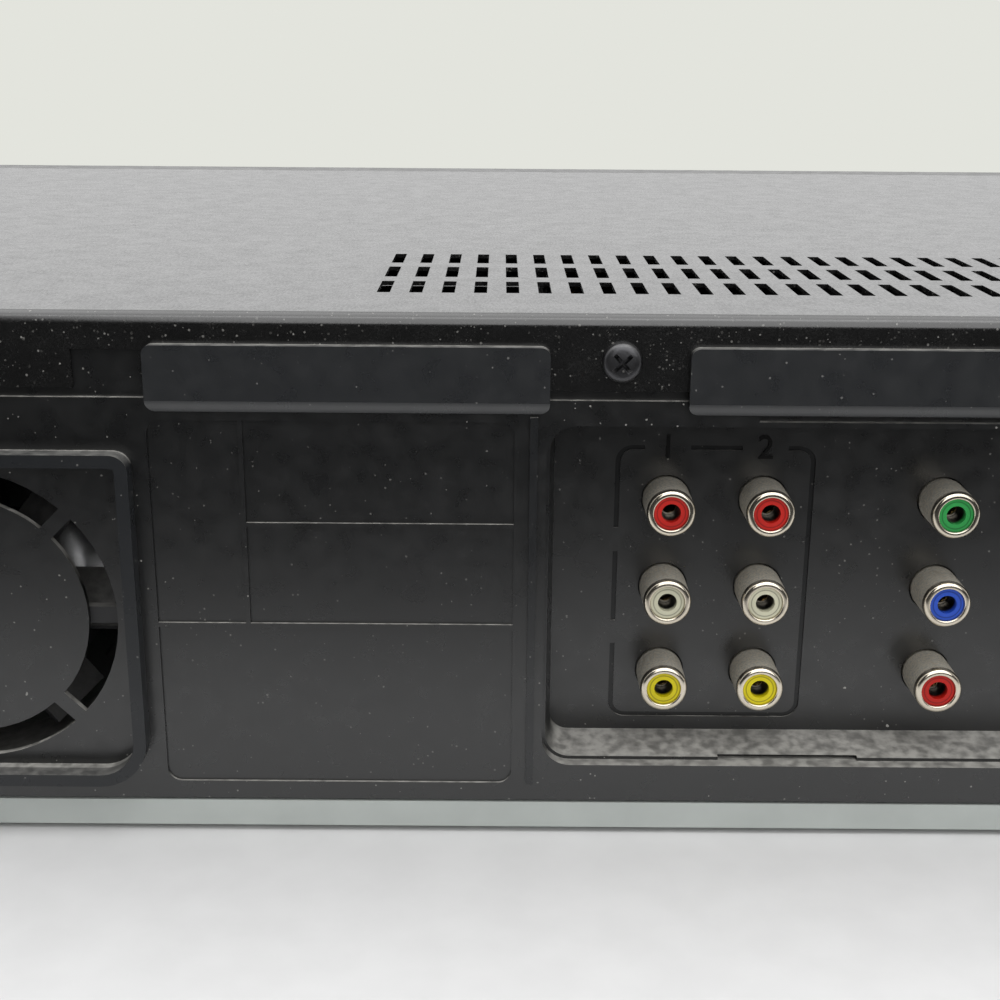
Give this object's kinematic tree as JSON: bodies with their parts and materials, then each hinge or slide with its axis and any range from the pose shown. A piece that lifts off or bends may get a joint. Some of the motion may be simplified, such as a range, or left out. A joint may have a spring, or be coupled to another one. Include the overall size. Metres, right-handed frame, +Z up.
{
  "type": "dvd vcr combo player",
  "caption": "Flat black home disc and videotape player: sheet cover, rear socket panel with phono sockets, disc tray, cassette flap, keys, loader and tape deck inside.",
  "frame": {"origin": "centre of the bounding box in x and y, at the underside of the feet", "axes": "+Z up, the fascia faces -Y, the socket panel faces +Y, +X to the right as seen from the front"},
  "size_m": [0.438, 0.304, 0.094],
  "materials": {
    "cover_paint": "textured semi-gloss black powder coat",
    "pan_steel": "light grey painted sheet",
    "foot_rubber": "matte",
    "screw_steel": "black zinc",
    "black_plastic": "fine texture",
    "nickel": "bright nickel plate",
    "red_plastic": "gloss",
    "white_plastic": "gloss",
    "yellow_plastic": "gloss",
    "green_plastic": "gloss",
    "blue_plastic": "gloss",
    "black_moulding": "matte",
    "tinplate": "tin plate",
    "board_laminate": "solder mask",
    "paper_laminate": "bare laminate",
    "ferrite": "ferrite and tape",
    "sleeve_plastic": "plastic sleeve",
    "bare_aluminium": "mill finish",
    "smoked_window": "smoked acrylic",
    "display_glass": "display tube glass",
    "tray_plastic": "satin",
    "acetal": "natural acetal",
    "bright_steel": "zinc plate",
    "die_cast": "die casting",
    "machined_aluminium": "turned",
    "key_plastic": "gloss"
  },
  "bodies": {
    "case": {"aerial_terminals": "nickel", "base_pan": "pan_steel", "blue_insert": "blue_plastic", "capacitors": "sleeve_plastic", "clamp_bridge": "bright_steel", "cord_gland": "black_moulding", "cover_screws": "screw_steel", "deck_chassis": "bright_steel", "display_tube": "display_glass", "display_window": "smoked_window", "drum_base": "machined_aluminium", "fan_frame": "black_moulding", "feet": "foot_rubber", "front_fascia": "black_plastic", "green_insert": "green_plastic", "head_stack": "bright_steel", "heat_sink": "bare_aluminium", "jack_bodies": "black_moulding", "loader_frame": "black_moulding", "main_board": "board_laminate", "phono_sleeves": "nickel", "power_board": "paper_laminate", "rear_panel": "black_plastic", "red_inserts": "red_plastic", "s_video_socket": "black_moulding", "switch_board": "paper_laminate", "top_cover": "cover_paint", "transformer": "ferrite", "tuner_can": "tinplate", "white_inserts": "white_plastic", "yellow_inserts": "yellow_plastic"},
    "tray": {"disc_tray": "tray_plastic", "tray_front": "black_plastic"},
    "pinion": {"tray_pinion": "acetal"},
    "puck": {"clamp_puck": "black_moulding"},
    "traverse": {"traverse_plate": "bright_steel", "guide_rods": "bright_steel", "spindle_motor": "bright_steel"},
    "disc_spindle": {"turntable": "black_moulding"},
    "sled": {"pickup_sled": "die_cast"},
    "sled_screw": {"lead_screw": "bright_steel"},
    "flap": {"cassette_flap": "black_plastic"},
    "slider": {"carrier_slider": "acetal"},
    "carrier": {"cassette_carrier": "bright_steel"},
    "upper_drum": {"head_drum": "machined_aluminium"},
    "capstan_body": {"capstan": "bright_steel"},
    "roller": {"pinch_roller": "foot_rubber"},
    "supply": {"supply_reel": "black_moulding"},
    "takeup": {"takeup_reel": "black_moulding"},
    "fan": {"fan_rotor": "black_moulding"},
    "rocker": {"channel_rocker": "key_plastic"},
    "cassette_eject_key": {"cassette_eject_button": "key_plastic"},
    "dvd_play_key": {"dvd_play_button": "key_plastic"},
    "forward_key": {"forward_button": "key_plastic"},
    "power_key": {"power_button": "key_plastic"},
    "record_key": {"record_button": "key_plastic"},
    "rewind_key": {"rewind_button": "key_plastic"},
    "stop_key": {"stop_button": "key_plastic"},
    "tray_open_key": {"tray_open_button": "key_plastic"},
    "vcr_play_key": {"vcr_play_button": "key_plastic"}
  },
  "joints": [
    {"name": "tray_slide", "type": "slide", "parent": "case", "child": "tray", "axis": [0, -1, 0], "range_m": [0, 0.128]},
    {"name": "tray_pinion_turn", "type": "hinge", "parent": "case", "child": "pinion", "pos_m": [-0.175, -0.118, 0.05], "axis": [0, 0, 1], "range_deg": [0, 815.2]},
    {"name": "puck_spin", "type": "hinge", "parent": "case", "child": "puck", "pos_m": [-0.124, -0.082, 0.08], "axis": [0, 0, 1], "continuous": true},
    {"name": "traverse_tilt", "type": "hinge", "parent": "case", "child": "traverse", "pos_m": [-0.124, 0.03, 0.049], "axis": [1, 0, 0], "range_deg": [0, 3.5]},
    {"name": "disc_spin", "type": "hinge", "parent": "traverse", "child": "disc_spindle", "pos_m": [-0.124, -0.082, 0.062], "axis": [0, 0, 1], "continuous": true},
    {"name": "sled_slide", "type": "slide", "parent": "traverse", "child": "sled", "axis": [0, 1, 0], "range_m": [0, 0.036]},
    {"name": "lead_screw_turn", "type": "hinge", "parent": "traverse", "child": "sled_screw", "pos_m": [-0.097, 0, 0.057], "axis": [0, 1, 0], "range_deg": [0, 4320.5]},
    {"name": "cassette_flap_turn", "type": "hinge", "parent": "case", "child": "flap", "pos_m": [0.104, -0.1483, 0.0816], "axis": [1, 0, 0], "range_deg": [0, 80], "stiffness_Nm_per_rad": 0.01, "springref_deg": -20.05},
    {"name": "carrier_in", "type": "slide", "parent": "case", "child": "slider", "axis": [0, 1, 0], "range_m": [0, 0.048]},
    {"name": "carrier_down", "type": "slide", "parent": "slider", "child": "carrier", "axis": [0, 0, -1], "range_m": [0, 0.026]},
    {"name": "head_drum_spin", "type": "hinge", "parent": "case", "child": "upper_drum", "pos_m": [0.1, 0.076, 0.0315], "axis": [0.0872, 0, 0.9962], "continuous": true},
    {"name": "capstan_spin", "type": "hinge", "parent": "case", "child": "capstan_body", "pos_m": [0.152, 0.06, 0.03], "axis": [0, 0, 1], "continuous": true},
    {"name": "pinch_roller_spin", "type": "hinge", "parent": "case", "child": "roller", "pos_m": [0.1616, 0.06, 0.04], "axis": [0, 0, 1], "continuous": true},
    {"name": "supply_reel_spin", "type": "hinge", "parent": "case", "child": "supply", "pos_m": [0.058, -0.008, 0.035], "axis": [0, 0, 1], "continuous": true},
    {"name": "takeup_reel_spin", "type": "hinge", "parent": "case", "child": "takeup", "pos_m": [0.15, -0.008, 0.035], "axis": [0, 0, 1], "continuous": true},
    {"name": "fan_spin", "type": "hinge", "parent": "case", "child": "fan", "pos_m": [0.1121, 0.14, 0.0406], "axis": [0, 1, 0], "continuous": true},
    {"name": "channel_rock", "type": "hinge", "parent": "case", "child": "rocker", "pos_m": [0.153, -0.146, 0.033], "axis": [1, 0, 0], "range_deg": [-2.5, 2.5], "stiffness_Nm_per_rad": 0.02},
    {"name": "cassette_eject_press", "type": "slide", "parent": "case", "child": "cassette_eject_key", "axis": [0, 1, 0], "range_m": [0, 0.0008], "stiffness_N_per_m": 600, "springref_m": -0.0006},
    {"name": "dvd_play_press", "type": "slide", "parent": "case", "child": "dvd_play_key", "axis": [0, 1, 0], "range_m": [0, 0.0008], "stiffness_N_per_m": 600, "springref_m": -0.0006},
    {"name": "forward_press", "type": "slide", "parent": "case", "child": "forward_key", "axis": [0, 1, 0], "range_m": [0, 0.0008], "stiffness_N_per_m": 600, "springref_m": -0.0006},
    {"name": "power_press", "type": "slide", "parent": "case", "child": "power_key", "axis": [0, 1, 0], "range_m": [0, 0.0008], "stiffness_N_per_m": 600, "springref_m": -0.0006},
    {"name": "record_press", "type": "slide", "parent": "case", "child": "record_key", "axis": [0, 1, 0], "range_m": [0, 0.0008], "stiffness_N_per_m": 600, "springref_m": -0.0006},
    {"name": "rewind_press", "type": "slide", "parent": "case", "child": "rewind_key", "axis": [0, 1, 0], "range_m": [0, 0.0008], "stiffness_N_per_m": 600, "springref_m": -0.0006},
    {"name": "stop_press", "type": "slide", "parent": "case", "child": "stop_key", "axis": [0, 1, 0], "range_m": [0, 0.0008], "stiffness_N_per_m": 600, "springref_m": -0.0006},
    {"name": "tray_open_press", "type": "slide", "parent": "case", "child": "tray_open_key", "axis": [0, 1, 0], "range_m": [0, 0.0008], "stiffness_N_per_m": 600, "springref_m": -0.0006},
    {"name": "vcr_play_press", "type": "slide", "parent": "case", "child": "vcr_play_key", "axis": [0, 1, 0], "range_m": [0, 0.0008], "stiffness_N_per_m": 600, "springref_m": -0.0006}
  ],
  "couplings": [
    {"joint": "tray_pinion_turn", "follows": "tray_slide", "rad_per_m": 111.11},
    {"joint": "lead_screw_turn", "follows": "sled_slide", "rad_per_m": 2094.4},
    {"joint": "puck_spin", "follows": "disc_spin", "ratio": 1}
  ]
}
